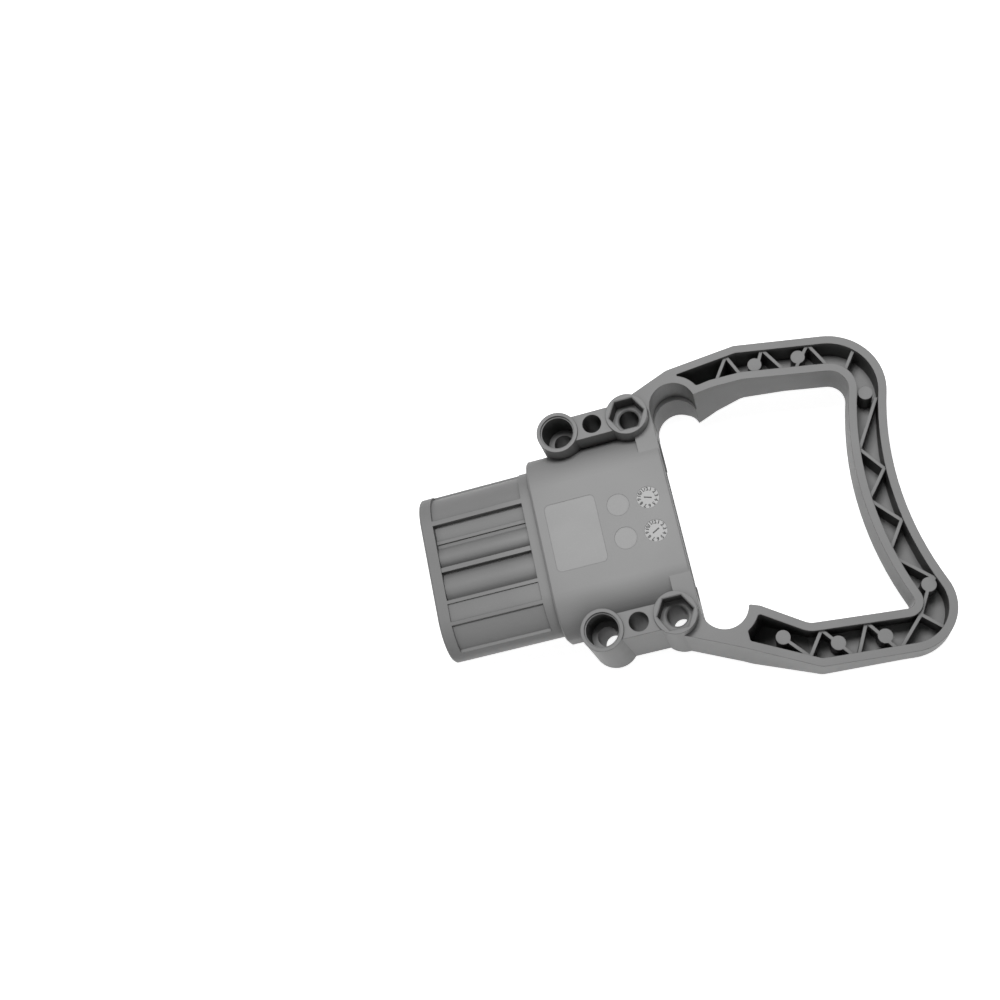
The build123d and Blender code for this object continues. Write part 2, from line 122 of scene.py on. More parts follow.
# Colour and shine of every moulded plastic: brightness of the mottle and the specks against the plain
# colour, how strongly the specks show, and how much the roughness goes up and down with the mottle
MOTTLE_DARK = 0.93
MOTTLE_PALE = 1.07
SPECK_PALE = 1.5
SPECK_STRENGTH = 0.22
GLOSS_SPREAD = 0.05
PLASTIC_SPECULAR = 0.25
PLASTIC_IOR = 1.49

# Painted shade line along the edges: how many rays look for an edge, how fast the line reaches its
# full strength as the surface turns, and that strength
EDGE_SAMPLES = 6
EDGE_GAIN = 4.0
EDGE_STRENGTH = 0.75

# Painted shade in hollows: how many rays look for the sky, the share of it that a face sees where the
# shade starts and where it is full, and how much of the shade a level floor gets
SKY_SAMPLES = 8
OPEN_SKY = 0.97
CLOSED_SKY = 0.3
FLOOR_SHADE = 0.0

# Painted shade in creases, on walls and floors alike: how far a wall still counts, and how much of the shade
CREASE_REACH = 2.5 * MM
CREASE_SHADE = 0.4

# Painted light on the highest face, a pool of paler colour: where it is centred, how far from there it
# starts to fade and ends, and how many times height counts in that distance
LIGHT_POOL_CENTRE = (-6.0 * MM, 0.0, TOP_FACE)
LIGHT_POOL_START = 20.0 * MM
LIGHT_POOL_END = 46.0 * MM
LIGHT_POOL_HEIGHT_WEIGHT = 6.0

# Surfaces of the smaller plastic pieces, each with its own painted shade along the edges
PIN_SURFACE = {
    "roughness": 0.42,
    "grain_size": 0.3 * MM,
    "grain_height": 0.006 * MM,
    "edge_width": 0.2 * MM,
    "edge_shade": 0.3,
}
MARK_SURFACE = {
    "roughness": 0.45,
    "grain_size": 0.5 * MM,
    "grain_height": 0.004 * MM,
    "edge_width": 0.12 * MM,
    "edge_shade": 0.15,
}

# Every turned metal: the stains in cycles a metre, the noise level at which one starts and is full, how
# much rougher the metal gets with that noise, and the tool rings' depth, strength and cycles round the axis
STAIN_SCALE = 230.0
STAIN_START = 0.45
STAIN_FULL = 0.75
STAIN_ROUGHNESS = 0.18
RING_DEPTH = 0.02 * MM
RING_STRENGTH = 0.5
RING_DRAG = 60.0

# Surfaces of the metal pieces, and how bright stained steel is against clean steel
PLATED_SURFACE = {"roughness": 0.24, "ring_pitch": 0.12 * MM, "stain_amount": 0.45}
STEEL_SURFACE = {"roughness": 0.3, "ring_pitch": 0.3 * MM, "stain_amount": 0.6}
STAINED_STEEL = 0.72

# Where the photograph was taken from, how the camera was turned in degrees, and how it was framed
CAMERA_PLACE = (0.0307966, -0.1086412, 0.4317812)
CAMERA_TURN = (15.16235549, 13.00669951, -11.55634287)
CAMERA_LENS = 44.1945
CAMERA_SENSOR = 36.0
CAMERA_NEAR = 10.0 * MM

# The stage: where each lamp hangs, what it points at and how large it is, and the floor under the connector
OVERHEAD_LAMP = {"place": (0.035, 0.12, 0.53), "target": (0.02, 0.0, 0.03), "size": (0.2, 0.12)}
FILL_LAMP = {"place": (0.0, -0.6, 0.3), "target": (0.03, 0.0, 0.02), "size": (0.5, 0.3)}
WHITE = (1.0, 1.0, 1.0)
FLOOR_GAP = 0.2 * MM
FLOOR_POINTS = 9
FLOOR_COLOUR = (0.8, 0.8, 0.8)
FLOOR_ROUGHNESS = 0.9
FLOOR_GLOW = 0.88

# Types of the node groups' sockets, and the width and height of a place in the node editor
NUMBER = "NodeSocketFloat"
VECTOR = "NodeSocketVector"
NODE_COLUMN = 220
NODE_ROW = 280


# Settings that a user would change


class PlasticFinish(bpy.types.PropertyGroup):
    """Colour and surface of the moulded housing, with the painted shade and painted light laid on it"""

    colour: bpy.props.FloatVectorProperty(
        name="Plastic colour", description="Colour of the glass-filled housing plastic",
        default=(0.237, 0.237, 0.237), size=3, min=0.0, max=1.0, subtype="COLOR")
    roughness: bpy.props.FloatProperty(
        name="Roughness", description="How matt the moulded faces are", default=0.5, min=0.0, max=1.0,
        subtype="FACTOR")
    grain_size: bpy.props.FloatProperty(
        name="Grain size", description="Spacing of the eroded tool texture", default=0.45 * MM, min=0.0,
        unit="LENGTH")
    grain_height: bpy.props.FloatProperty(
        name="Grain height", description="Height of the eroded tool texture", default=0.02 * MM, min=0.0,
        unit="LENGTH")
    # Bevel radius that rounds the shading normal, which is also the width of the painted shade line
    edge_width: bpy.props.FloatProperty(
        name="Edge width", description="Width of the darker line along moulded edges", default=0.32 * MM,
        min=0.0, unit="LENGTH")
    # Painted shade: how much the colour is darkened along the moulded edges
    edge_shade: bpy.props.FloatProperty(
        name="Edge shade", description="How much darker the moulded edges are", default=0.6, min=0.0,
        max=1.0, subtype="FACTOR")
    # Painted shade on sheltered walls and in creases: how far a wall reaches, and how much darker it paints
    cavity_reach: bpy.props.FloatProperty(
        name="Cavity reach", description="How far away a wall still dulls a sheltered face",
        default=16.0 * MM, min=0.0, unit="LENGTH")
    cavity_shade: bpy.props.FloatProperty(
        name="Cavity shade", description="How much darker the most sheltered walls are", default=0.72,
        min=0.0, max=1.0, subtype="FACTOR")
    # Painted light: how much paler the highest flat face is painted round the pool's centre
    rubbed: bpy.props.FloatProperty(
        name="Painted light", description="How much paler the highest flat face has been rubbed",
        default=0.28, min=0.0, max=1.0, subtype="FACTOR")
    pin_colour: bpy.props.FloatVectorProperty(
        name="Pin colour", description="Colour of the coding pin",
        default=(0.33, 0.33, 0.335), size=3, min=0.0, max=1.0, subtype="COLOR")


class MetalFinish(bpy.types.PropertyGroup):
    """Colours of the contacts and springs"""

    silver: bpy.props.FloatVectorProperty(
        name="Plating colour", description="Colour of the silver plating on the contacts",
        default=(0.82, 0.80, 0.76), size=3, min=0.0, max=1.0, subtype="COLOR")
    tarnish: bpy.props.FloatVectorProperty(
        name="Tarnish colour", description="Colour of the tarnish in the plating",
        default=(0.46, 0.40, 0.31), size=3, min=0.0, max=1.0, subtype="COLOR")
    steel: bpy.props.FloatVectorProperty(
        name="Spring steel colour", description="Colour of the contact bands, rings and hoods",
        default=(0.58, 0.58, 0.59), size=3, min=0.0, max=1.0, subtype="COLOR")


class MarkShapes(bpy.types.PropertyGroup):
    """Sizes and colours of the bare patch, discs and dials in the ribbed face"""

    colour: bpy.props.FloatVectorProperty(
        name="Mark colour", description="Colour of the patch and discs, a little paler than the housing",
        default=(0.335, 0.335, 0.335), size=3, min=0.0, max=1.0, subtype="COLOR")
    dial_colour: bpy.props.FloatVectorProperty(
        name="Dial colour", description="Colour of the two dial faces",
        default=(0.47, 0.47, 0.47), size=3, min=0.0, max=1.0, subtype="COLOR")
    # Painted shade: the numbers and pointer are made near black where the moulded figures only lie in shade
    figure_colour: bpy.props.FloatVectorProperty(
        name="Figure colour", description="Colour of the dial's numbers and pointer",
        default=(0.07, 0.07, 0.07), size=3, min=0.0, max=1.0, subtype="COLOR")
    patch_length: bpy.props.FloatProperty(
        name="Patch length", description="Patch size along the connector", default=17.64 * MM, min=0.0,
        unit="LENGTH")
    patch_width: bpy.props.FloatProperty(
        name="Patch width", description="Patch size across the connector", default=23.84 * MM, min=0.0,
        unit="LENGTH")
    patch_corner: bpy.props.FloatProperty(
        name="Patch corner", description="Corner radius of the patch", default=1.82 * MM, min=0.0,
        unit="LENGTH")
    dial_numbers: bpy.props.IntProperty(
        name="Dial numbers", description="How many numbers a dial carries", default=12, min=3, max=31)
    number_size: bpy.props.FloatProperty(
        name="Number size", description="Size of the numbers on a dial", default=1.7 * MM, min=0.0,
        unit="LENGTH")
    pointer_length: bpy.props.FloatProperty(
        name="Pointer length", description="Length of a dial's pointer", default=2.7 * MM, min=0.0,
        unit="LENGTH")


class StageLight(bpy.types.PropertyGroup):
    """Lamps and floor that the connector is shown with"""

    key_power: bpy.props.FloatProperty(
        name="Overhead lamp", description="Power of the soft lamp above the connector", default=2.0, min=0.0,
        unit="POWER")
    fill_power: bpy.props.FloatProperty(
        name="Fill lamp", description="Power of the low lamp on the near side", default=0.5, min=0.0,
        unit="POWER")
    world_level: bpy.props.FloatProperty(
        name="Room light", description="Brightness of the room round the connector", default=0.12, min=0.0)
    floor_size: bpy.props.FloatProperty(
        name="Floor size", description="Half the width of the floor", default=3.0, min=0.1, unit="LENGTH")


# Shader node helpers. A source is either another node's output socket or a fixed value


def feed(tree, socket, source):
    """Links a socket to its source, or sets it to a fixed value; a fixed colour gets an alpha of one."""
    if isinstance(source, bpy.types.NodeSocket):
        tree.links.new(source, socket)
    elif socket.type == "RGBA":
        socket.default_value = (*source, 1.0)
    else:
        socket.default_value = source


def feed_named(tree, node, **sources):
    """Feeds a node's inputs by name, with an underscore for each space."""
    for name, source in sources.items():
        feed(tree, node.inputs[name.replace("_", " ")], source)


def add_node(tree, kind, place, **sources):
    """A node of the given kind at a column and row of the editor, with its named inputs fed."""
    node = tree.nodes.new(kind)
    node.location = (place[0] * NODE_COLUMN, place[1] * NODE_ROW)
    feed_named(tree, node, **sources)
    return node


def place_group(tree, group, place, **sources):
    """A node that uses a node group, with its named inputs fed."""
    node = add_node(tree, "ShaderNodeGroup", place)
    node.node_tree = group
    feed_named(tree, node, **sources)
    return node


def work_out(tree, place, operation, *sources, clamp=False):
    """The result of a Math node whose inputs are fed in order."""
    node = add_node(tree, "ShaderNodeMath", place)
    node.operation = operation
    node.use_clamp = clamp
    for socket, source in zip(node.inputs, sources):
        feed(tree, socket, source)
    return node.outputs["Value"]


def work_out_vector(tree, place, operation, result, *sources):
    """The named result of a Vector Math node whose inputs are fed in order."""
    node = add_node(tree, "ShaderNodeVectorMath", place)
    node.operation = operation
    for socket, source in zip(node.inputs, sources):
        feed(tree, socket, source)
    return node.outputs[result]


def map_range(tree, place, value, start=0.0, full=1.0, low=0.0, high=1.0):
    """A value spread over a new range: low where it is at start, and high where it is at full."""
    node = add_node(tree, "ShaderNodeMapRange", place, Value=value, From_Min=start, From_Max=full,
                    To_Min=low, To_Max=high)
    return node.outputs["Result"]


def noise(tree, place, where, scale, detail, roughness):
    """The level of a Noise Texture, from 0 to 1, at a position."""
    node = add_node(tree, "ShaderNodeTexNoise", place, Vector=where, Scale=scale, Detail=detail,
                    Roughness=roughness)
    return node.outputs["Fac"]


def stretched_noise(tree, place, where, scales, detail, roughness):
    """The level of a Noise Texture that has a scale of its own along each axis."""
    node = add_node(tree, "ShaderNodeMapping", place, Vector=where, Scale=scales)
    beside = (place[0] + 1, place[1])
    return noise(tree, beside, node.outputs["Vector"], 1.0, detail, roughness)


def blend_colours(tree, place, factor, first, second):
    """A colour between two others, by a factor."""
    node = add_node(tree, "ShaderNodeMix", place)
    node.data_type = "RGBA"
    feed_named(tree, node, Factor=factor, A=first, B=second)
    return node.outputs["Result"]


def scaled(colour, factor):
    """A colour made lighter or darker by a factor."""
    return tuple(min(1.0, part * factor) for part in colour)


def open_group(name, inputs, outputs):
    """A new node group, its input node's sockets and its output node; inputs gives each one's type."""
    tree = bpy.data.node_groups.new(name, "ShaderNodeTree")
    for socket_name, socket_type in inputs.items():
        tree.interface.new_socket(socket_name, in_out="INPUT", socket_type=socket_type)
    for socket_name in outputs:
        tree.interface.new_socket(socket_name, in_out="OUTPUT", socket_type=NUMBER)
    given = add_node(tree, "NodeGroupInput", (0, 0)).outputs
    return tree, given, add_node(tree, "NodeGroupOutput", (5, 0))


def moulded_texture_group():
    """Node group: eroded tool texture, mottle and fibre specks of moulded plastic.

    Height is fine noise plus a share of a coarser one. Mottle is slow noise, drawn out along X as the
    plastic flows. Specks is 0 on most of the surface and 1 in short fibres along X, where a fine noise is
    at its highest.
    """
    name = "Moulded texture"
    if name in bpy.data.node_groups:
        return bpy.data.node_groups[name]
    sockets = {"Vector": VECTOR, "Grain Scale": NUMBER}
    tree, given, end = open_group(name, sockets, ("Height", "Mottle", "Specks"))
    where = given["Vector"]
    fine = noise(tree, (2, 2), where, given["Grain Scale"], detail=3.0, roughness=0.6)
    coarse = noise(tree, (2, 1), where, COARSE_GRAIN_SCALE, detail=2.0, roughness=0.5)
    height = work_out(tree, (3, 1), "MULTIPLY_ADD", coarse, COARSE_GRAIN_SHARE, fine)
    mottle = stretched_noise(tree, (1, 0), where, MOTTLE_SCALE, detail=4.0, roughness=0.55)
    fibres = stretched_noise(tree, (1, -1), where, SPECK_SCALE, detail=1.0, roughness=0.5)
    specks = map_range(tree, (3, -1), fibres, SPECK_START, SPECK_FULL)
    feed_named(tree, end, Height=height, Mottle=mottle, Specks=specks)
    return tree


def edge_mask_group():
    """Node group: up to 1 along sharp edges, and 0 on flat faces.

    The mask is 1 minus the cosine between a Bevel node's normal and the true one, times Gain, held at 1.
    """
    name = "Edge mask"
    if name in bpy.data.node_groups:
        return bpy.data.node_groups[name]
    tree, given, end = open_group(name, {"Gain": NUMBER, "Normal": VECTOR}, ("Mask",))
    face = add_node(tree, "ShaderNodeNewGeometry", (0, -1))
    cosine = work_out_vector(
        tree, (1, 0), "DOT_PRODUCT", "Value", given["Normal"], face.outputs["True Normal"])
    lean = work_out(tree, (2, 0), "SUBTRACT", 1.0, cosine)
    mask = work_out(tree, (3, 0), "MULTIPLY", lean, given["Gain"], clamp=True)
    feed_named(tree, end, Mask=mask)
    return tree


def open_sky(tree, place, reach):
    """The share of the sky that a face sees past the piece's own walls within reach."""
    node = add_node(tree, "ShaderNodeAmbientOcclusion", place, Distance=reach)
    node.samples = SKY_SAMPLES
    node.only_local = True
    return node.outputs["AO"]


def cavity_group():
    """Node group: mask of painted shade, 1 on the most sheltered walls and 0 on open faces.

    The mask is the share of the sky that the piece's own walls hide, between the open and the closed
    share, times a factor that falls from 1 on a wall to Floor on a level floor. Where it is greater, the
    mask is Crease times the same share within the short Crease Reach, on walls and floors alike.
    """
    name = "Cavity mask"
    if name in bpy.data.node_groups:
        return bpy.data.node_groups[name]
    sockets = {"Reach": NUMBER, "Floor": NUMBER, "Crease Reach": NUMBER, "Crease": NUMBER}
    tree, given, end = open_group(name, sockets, ("Mask",))
    hidden = map_range(tree, (2, 0), open_sky(tree, (1, 0), given["Reach"]), OPEN_SKY, CLOSED_SKY)
    face = add_node(tree, "ShaderNodeNewGeometry", (0, -1))
    upward = add_node(tree, "ShaderNodeSeparateXYZ", (1, -1), Vector=face.outputs["True Normal"])
    level = map_range(tree, (2, -1), upward.outputs["Z"], low=1.0, high=given["Floor"])
    hollow = work_out(tree, (3, 0), "MULTIPLY", hidden, level)
    crease = map_range(tree, (2, 1), open_sky(tree, (1, 1), given["Crease Reach"]), OPEN_SKY, CLOSED_SKY,
                       high=given["Crease"])
    feed_named(tree, end, Mask=work_out(tree, (4, 0), "MAXIMUM", hollow, crease))
    return tree


# Materials


def new_material(name):
    """A new material, its node tree and its Principled shader, set to the right of what feeds it."""
    material = bpy.data.materials.new(name)
    material.use_nodes = True
    tree = material.node_tree
    shader = tree.nodes["Principled BSDF"]
    shader.location = (7 * NODE_COLUMN, 0)
    tree.nodes["Material Output"].location = (9 * NODE_COLUMN, 0)
    return material, tree, shader


def moulded_plastic(name, colour, roughness, grain_size, grain_height, edge_width, edge_shade):
    """Glass-filled plastic: mottled colour, pale fibre specks, painted shade along the edges and an eroded
    grain.
    """
    material, tree, shader = new_material(name)
    shader.inputs["Specular IOR Level"].default_value = PLASTIC_SPECULAR
    shader.inputs["IOR"].default_value = PLASTIC_IOR
    where = add_node(tree, "ShaderNodeTexCoord", (0, 0)).outputs["Object"]
    texture = place_group(tree, moulded_texture_group(), (1, 0), Vector=where,
                          Grain_Scale=1.0 / grain_size).outputs

    mottled = blend_colours(
        tree, (2, 1), texture["Mottle"], scaled(colour, MOTTLE_DARK), scaled(colour, MOTTLE_PALE))
    speck = work_out(tree, (2, 0), "MULTIPLY", texture["Specks"], SPECK_STRENGTH)
    speckled = blend_colours(tree, (3, 1), speck, mottled, scaled(colour, SPECK_PALE))

    rounded = add_node(tree, "ShaderNodeBevel", (0, -1), Radius=edge_width)
    rounded.samples = EDGE_SAMPLES
    bent = rounded.outputs["Normal"]
    # Painted shade: the colour is darkened where the Bevel normal leans away from the true one
    edges = place_group(tree, edge_mask_group(), (1, -1), Gain=EDGE_GAIN, Normal=bent)
    edge = work_out(tree, (2, -1), "MULTIPLY", edges.outputs["Mask"], EDGE_STRENGTH)
    edge_shaded = blend_colours(tree, (4, 1), edge, speckled, scaled(colour, 1.0 - edge_shade))

    gloss = map_range(tree, (4, 0), texture["Mottle"], low=roughness + GLOSS_SPREAD,
                      high=roughness - GLOSS_SPREAD)
    grain = add_node(tree, "ShaderNodeBump", (4, -1), Strength=1.0, Distance=grain_height,
                     Height=texture["Height"], Normal=bent)
    feed_named(tree, shader, Base_Color=edge_shaded, Roughness=gloss, Normal=grain.outputs["Normal"])
    return material


def lay_over_base(material, place, mask, colour):
    """Lays a fixed colour over the base colour that a material has so far, by a mask."""
    tree = material.node_tree
    base = tree.nodes["Principled BSDF"].inputs["Base Color"]
    so_far = base.links[0].from_socket
    feed(tree, base, blend_colours(tree, place, mask, so_far, colour))


def rub_high_face(material, colour, amount):
    """Paints light on a moulded plastic: a pool of paler colour round a point of its highest face.

    The mask falls from 1 to 0 with the distance to the point, in which height counts several times.
    """
    tree = material.node_tree
    where = add_node(tree, "ShaderNodeTexCoord", (0, 3)).outputs["Object"]
    offset = work_out_vector(tree, (1, 3), "SUBTRACT", "Vector", where, LIGHT_POOL_CENTRE)
    steep = work_out_vector(tree, (2, 3), "MULTIPLY", "Vector", offset, (1.0, 1.0, LIGHT_POOL_HEIGHT_WEIGHT))
    distance = work_out_vector(tree, (3, 3), "LENGTH", "Value", steep)
    mask = map_range(tree, (4, 3), distance, LIGHT_POOL_END, LIGHT_POOL_START)
    lay_over_base(material, (5, 1), mask, scaled(colour, 1.0 + amount))


def shade_hollows(material, colour, reach, shade):
    """Paints shade on the sheltered walls and creases of a moulded plastic, and leaves its open faces as
    they are.
    """
    hollow = place_group(material.node_tree, cavity_group(), (4, 2), Reach=reach, Floor=FLOOR_SHADE,
                         Crease_Reach=CREASE_REACH, Crease=CREASE_SHADE)
    lay_over_base(material, (6, 1), hollow.outputs["Mask"], scaled(colour, 1.0 - shade))


def turned_metal(name, clean, stained, roughness, ring_pitch, stain_amount):
    """Turned metal: fine tool rings along X, soft stains and uneven gloss."""
    material, tree, shader = new_material(name)
    shader.inputs["Metallic"].default_value = 1.0
    where = add_node(tree, "ShaderNodeTexCoord", (0, 0)).outputs["Object"]
    cloud = noise(tree, (2, 1), where, STAIN_SCALE, detail=5.0, roughness=0.6)
    stain = map_range(tree, (3, 1), cloud, STAIN_START, STAIN_FULL, high=stain_amount)
    colour = blend_colours(tree, (4, 1), stain, clean, stained)
    gloss = map_range(tree, (4, 0), cloud, low=roughness, high=roughness + STAIN_ROUGHNESS)
    ring_scales = (1.0 / ring_pitch, RING_DRAG, RING_DRAG)
    rings = stretched_noise(tree, (1, -1), where, ring_scales, detail=2.0, roughness=0.5)
    bump = add_node(tree, "ShaderNodeBump", (4, -1), Strength=RING_STRENGTH, Distance=RING_DEPTH,
                    Height=rings)
    feed_named(tree, shader, Base_Color=colour, Roughness=gloss, Normal=bump.outputs["Normal"])
    return material


def mark_material(name, colour):
    """Smoother plastic of the marks, made once for each name."""
    if name in bpy.data.materials:
        return bpy.data.materials[name]
    return moulded_plastic(name, colour, **MARK_SURFACE)


def give_material(node_name, material):
    """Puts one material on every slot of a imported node."""
    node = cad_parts[node_name]
    if not node.material_slots:
        node.data.materials.append(material)
    for slot in node.material_slots:
        slot.material = material


# Mesh helpers. A shape is an array of points and a list of faces


def grid_faces(rows, columns, closed):
    """Quads of a grid of rows by columns of points; closed joins the last column to the first."""
    row = np.arange(rows - 1)[:, None]
    column = np.arange(columns if closed else columns - 1)[None, :]
    following = (column + 1) % columns
    corners = (row * columns + column, row * columns + following,
               (row + 1) * columns + following, (row + 1) * columns + column)
    return np.stack(corners, axis=-1).reshape(-1, 4).tolist()


def round_outline(radius):
    """Outline of a circle: radius times the cosine and sine of evenly spaced angles."""
    angle = np.arange(CIRCLE_STEPS) * 2 * math.pi / CIRCLE_STEPS
    return np.stack((radius * np.cos(angle), radius * np.sin(angle)), axis=-1)


def rounded_outline(width, height, corner):
    """Outline of a rounded rectangle: four quarter circles of the corner radius about inset centres."""
    angle = np.linspace(0.0, math.pi / 2, CORNER_STEPS)
    quarters = np.arange(4)[:, None] * math.pi / 2
    turned = angle[None, :] + quarters
    side = np.array([[1, 1], [-1, 1], [-1, -1], [1, -1]])
    centre = side * np.array([width / 2 - corner, height / 2 - corner])
    x = centre[:, 0][:, None] + corner * np.cos(turned)
    y = centre[:, 1][:, None] + corner * np.sin(turned)
    return np.stack((x.ravel(), y.ravel()), axis=-1)


def button(outline, centre, profile):
    """A closed button on the floor of a recess, its outline carried up a profile of shares and heights.

    Point (ring, step) = centre + share(ring) * outline(step), at the recess floor + height(ring). The
    first ring is the underside, the last the top, and each of the two is filled with one face.
    """
    rings = len(profile)
    steps = len(outline)
    share, height = np.array(profile).T[:, :, None, None]
    flat = share * outline + np.array(centre)
    lifted = np.broadcast_to(RECESS_FLOOR + height, (rings, steps, 1))
    points = np.concatenate((flat, lifted), axis=-1).reshape(-1, 3)
    faces = grid_faces(rings, steps, True)
    faces.append(list(range(steps))[::-1])
    faces.append(list(range((rings - 1) * steps, rings * steps)))
    return points, faces


def tapered_bar(length, width, low, high):
    """A thin bar about the origin, with a slightly narrower top.

    Its corners are half the length and half the width from the origin at low, and the same less a share
    of the width on each side at high.
    """
    side = np.array([[-1.0, -1.0], [1.0, -1.0], [1.0, 1.0], [-1.0, 1.0]])
    bottom = side * np.array([length, width]) / 2
    top = bottom - side * (POINTER_DRAW_IN * width)
    heights = np.repeat([low, high], len(side))
    points = np.column_stack((np.concatenate((bottom, top)), heights))
    faces = [[3, 2, 1, 0], [4, 5, 6, 7], [0, 1, 5, 4], [1, 2, 6, 5], [2, 3, 7, 6], [3, 0, 4, 7]]
    return points, faces


def flat_number(number, size, thickness):
    """A plain number, centred on the origin and lying flat."""
    curve = bpy.data.curves.new("Number", "FONT")
    curve.body = str(number)
    curve.size = size
    curve.extrude = thickness / 2
    curve.offset = NUMBER_WEIGHT
    curve.resolution_u = NUMBER_CURVE_STEPS
    curve.align_x = "CENTER"
    curve.align_y = "CENTER"
    holder = bpy.data.objects.new("Number", curve)
    mesh = bpy.data.meshes.new_from_object(holder)
    points = np.empty(3 * len(mesh.vertices))
    mesh.vertices.foreach_get("co", points)
    faces = [list(face.vertices) for face in mesh.polygons]
    bpy.data.objects.remove(holder)
    bpy.data.curves.remove(curve)
    bpy.data.meshes.remove(mesh)
    return points.reshape(-1, 3), faces


def turned_about(points, turn, place, height):
    """Points turned about the vertical by the cosine and sine of an angle, then moved to a place."""
    cosine = math.cos(turn)
    sine = math.sin(turn)
    x = points[:, 0] * cosine - points[:, 1] * sine + place[0]
    y = points[:, 0] * sine + points[:, 1] * cosine + place[1]
    return np.stack((x, y, points[:, 2] + height), axis=-1)


def join_parts(parts):
    """One shape from several."""
    points = []
    faces = []
    total = 0
    for part_points, part_faces in parts:
        points.append(part_points)
        faces.extend([[total + corner for corner in face] for face in part_faces])
        total += len(part_points)
    return np.concatenate(points), faces


def dial_figures(marks, centre, pointer_turn):
    """The numbers and the pointer of a dial, as one shape.

    Each number stands on the face at centre + ring radius * (sine, cosine) of its share of a full turn,
    and is turned clockwise by as much, so the last one is at +Y. The pointer is sunk into the face.
    """
    count = marks.dial_numbers
    parts = []
    for number in range(1, count + 1):
        turn = -number * 2 * math.pi / count
        place = centre + MARK_RADIUS * NUMBER_RING * np.array((math.sin(-turn), math.cos(turn)))
        points, faces = flat_number(number, marks.number_size, FIGURE_HEIGHT)
        parts.append((turned_about(points, turn, place, DIAL_FACE + FIGURE_HEIGHT / 2), faces))
    points, faces = tapered_bar(marks.pointer_length, POINTER_WIDTH, -FIGURE_HEIGHT / 2, FIGURE_HEIGHT)
    parts.append((turned_about(points, pointer_turn, centre, DIAL_FACE), faces))
    return join_parts(parts)


def make_object(name, points, faces, material):
    """An object at the origin from a shape, with flat shading."""
    mesh = bpy.data.meshes.new(name)
    mesh.from_pydata(points.tolist(), [], faces)
    mesh.update()
    mesh.validate()
    made = bpy.data.objects.new(name, mesh)
    mesh.materials.append(material)
    bpy.context.scene.collection.objects.link(made)
    return made


def make_mark(name, points, faces, material):
    """A mark: an object that rides on the connector's one body, with its material."""
    piece = make_object(name, points, faces, material)
    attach(piece, BODY)


# Stage


def background_factor(tree, place):
    """Adds up Light Path's camera, glossy and transmission rays, held at one."""
    column, row = place
    path = add_node(tree, "ShaderNodeLightPath", place)
    seen = work_out(
        tree, (column + 1, row), "ADD", path.outputs["Is Camera Ray"], path.outputs["Is Glossy Ray"])
    return work_out(
        tree, (column + 2, row), "ADD", seen, path.outputs["Is Transmission Ray"], clamp=True)


def floor_material():
    """A white floor that keeps the shadow, with a glow that only the camera and reflections see."""
    material, tree, shader = new_material("White floor")
    shader.inputs["Roughness"].default_value = FLOOR_ROUGHNESS
    shader.inputs["Base Color"].default_value = (*FLOOR_COLOUR, 1.0)
    shader.inputs["Specular IOR Level"].default_value = 0.0
    level = work_out(tree, (6, -2), "MULTIPLY", background_factor(tree, (3, -2)), FLOOR_GLOW)
    glow = add_node(tree, "ShaderNodeEmission", (7, -2), Strength=level)
    both = add_node(tree, "ShaderNodeAddShader", (8, -1))
    feed(tree, both.inputs[0], shader.outputs["BSDF"])
    feed(tree, both.inputs[1], glow.outputs["Emission"])
    feed(tree, tree.nodes["Material Output"].inputs["Surface"], both.outputs["Shader"])
    return material


def lay_floor(half):
    """A level floor: evenly spaced points from -half to +half in X and Y, just under the connector."""
    span = np.linspace(-half, half, FLOOR_POINTS)
    x, y = np.meshgrid(span, span)
    z = np.full(x.shape, cad_box[0][2] - FLOOR_GAP)
    points = np.stack((x, y, z), axis=-1).reshape(-1, 3)
    floor = make_object("floor", points, grid_faces(FLOOR_POINTS, FLOOR_POINTS, False), floor_material())


def light_room(level):
    """A pale room of the given brightness, white where the camera or a reflection looks at it."""
    world = bpy.data.worlds.new("Pale room")
    bpy.context.scene.world = world
    world.use_nodes = True
    tree = world.node_tree
    room = tree.nodes["Background"]
    feed_named(tree, room, Color=WHITE, Strength=level)
    seen = add_node(tree, "ShaderNodeBackground", (0, -1), Color=WHITE, Strength=1.0)
    choose = add_node(tree, "ShaderNodeMixShader", (1, 0), Fac=background_factor(tree, (-3, 1)))
    feed(tree, choose.inputs[1], room.outputs["Background"])
    feed(tree, choose.inputs[2], seen.outputs["Background"])
    feed(tree, tree.nodes["World Output"].inputs["Surface"], choose.outputs["Shader"])


def hang_lamp(name, power, place, target, size):
    """A rectangular area lamp at a place, facing its target; its first size lies level."""
    lamp = bpy.data.lights.new(name, "AREA")
    lamp.energy = power
    lamp.shape = "RECTANGLE"
    lamp.size, lamp.size_y = size
    holder = bpy.data.objects.new(name, lamp)
    holder.location = place
    aim = np.array(target) - np.array(place)
    flat = math.hypot(aim[0], aim[1])
    holder.rotation_euler = (math.atan2(flat, -aim[2]), 0.0, math.atan2(aim[1], aim[0]) - math.pi / 2)
    bpy.context.scene.collection.objects.link(holder)


def place_camera():
    """The camera at the photograph's place, angle and field of view."""
    camera = bpy.data.cameras.new("Photo camera")
    camera.lens = CAMERA_LENS
    camera.sensor_width = CAMERA_SENSOR
    camera.clip_start = CAMERA_NEAR
    holder = bpy.data.objects.new("Photo camera", camera)
    holder.location = CAMERA_PLACE
    holder.rotation_euler = tuple(math.radians(turn) for turn in CAMERA_TURN)
    bpy.context.scene.collection.objects.link(holder)
    bpy.context.scene.camera = holder


# Operators, one for each group of pieces and one for the stage


